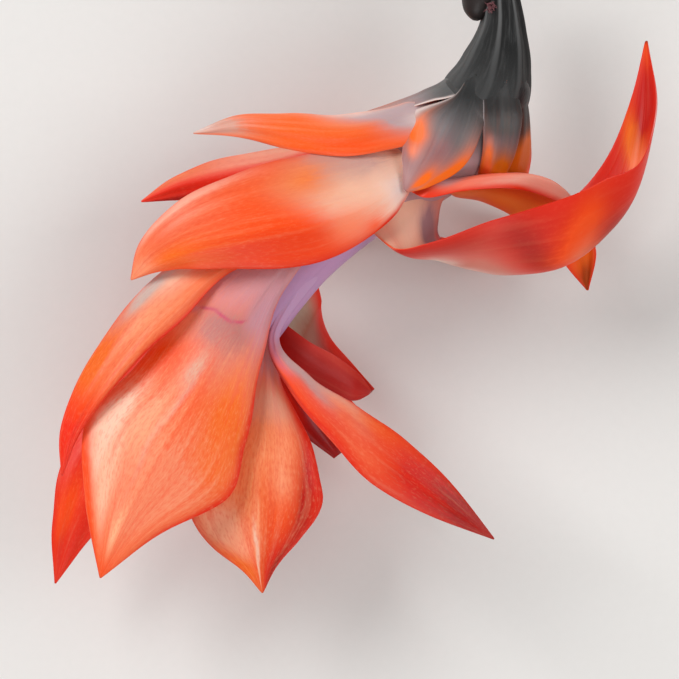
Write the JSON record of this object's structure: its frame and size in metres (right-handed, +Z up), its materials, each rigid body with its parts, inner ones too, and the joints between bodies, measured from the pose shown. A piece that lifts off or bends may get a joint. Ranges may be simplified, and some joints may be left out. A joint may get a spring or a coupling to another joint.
{
  "type": "christmas cactus flower",
  "caption": "Cut Christmas cactus flower lying on its side: ribbed ovary, bent floral tube, swept-back outer tepals and inner tepals flaring round the stamens.",
  "frame": {"origin": "on the surface the flower lies on, under the middle of the flower's outline", "axes": "+Z up from the surface, +Y towards the ovary and the cut stem, +X towards the side where the lower right outer tepal reaches out"},
  "size_m": [0.072, 0.0746, 0.0275],
  "materials": {
    "tepal": "satin petal, pale at the base, red at the margins",
    "scale": "waxy, grey-green at the base, orange at the margins",
    "floral_tube": "waxy, pale lavender pink",
    "ovary": "waxy, grey-green with lighter ribs",
    "stem": "waxy dark green",
    "stamen": "pale filaments with cream anthers",
    "style": "satin magenta"
  },
  "bodies": {
    "root": {"stem_tip": "stem", "ovary": "ovary", "floral_tube": "floral_tube", "outer_scale_front": "scale", "outer_scale_right": "scale", "outer_scale_edge": "scale", "outer_scale_top": "scale", "outer_scale_under": "scale", "outer_strap_upper": "tepal", "outer_strap_under": "tepal", "outer_tepal_left": "tepal", "outer_tepal_left_back": "tepal", "outer_tepal_left_under": "tepal", "outer_tepal_right_upper": "tepal", "outer_tepal_right_lower": "tepal", "outer_tepal_right_under": "tepal", "inner_tepal_left": "tepal", "inner_tepal_front": "tepal", "inner_tepal_middle": "tepal", "inner_tepal_right": "tepal", "inner_tepal_right_back": "tepal", "inner_tepal_middle_back": "tepal", "inner_tepal_left_back": "tepal", "inner_tepal_under_left": "tepal", "inner_tepal_under_front": "tepal", "inner_tepal_under_right": "tepal", "stamens": "stamen", "style": "style"}
  },
  "joints": []
}
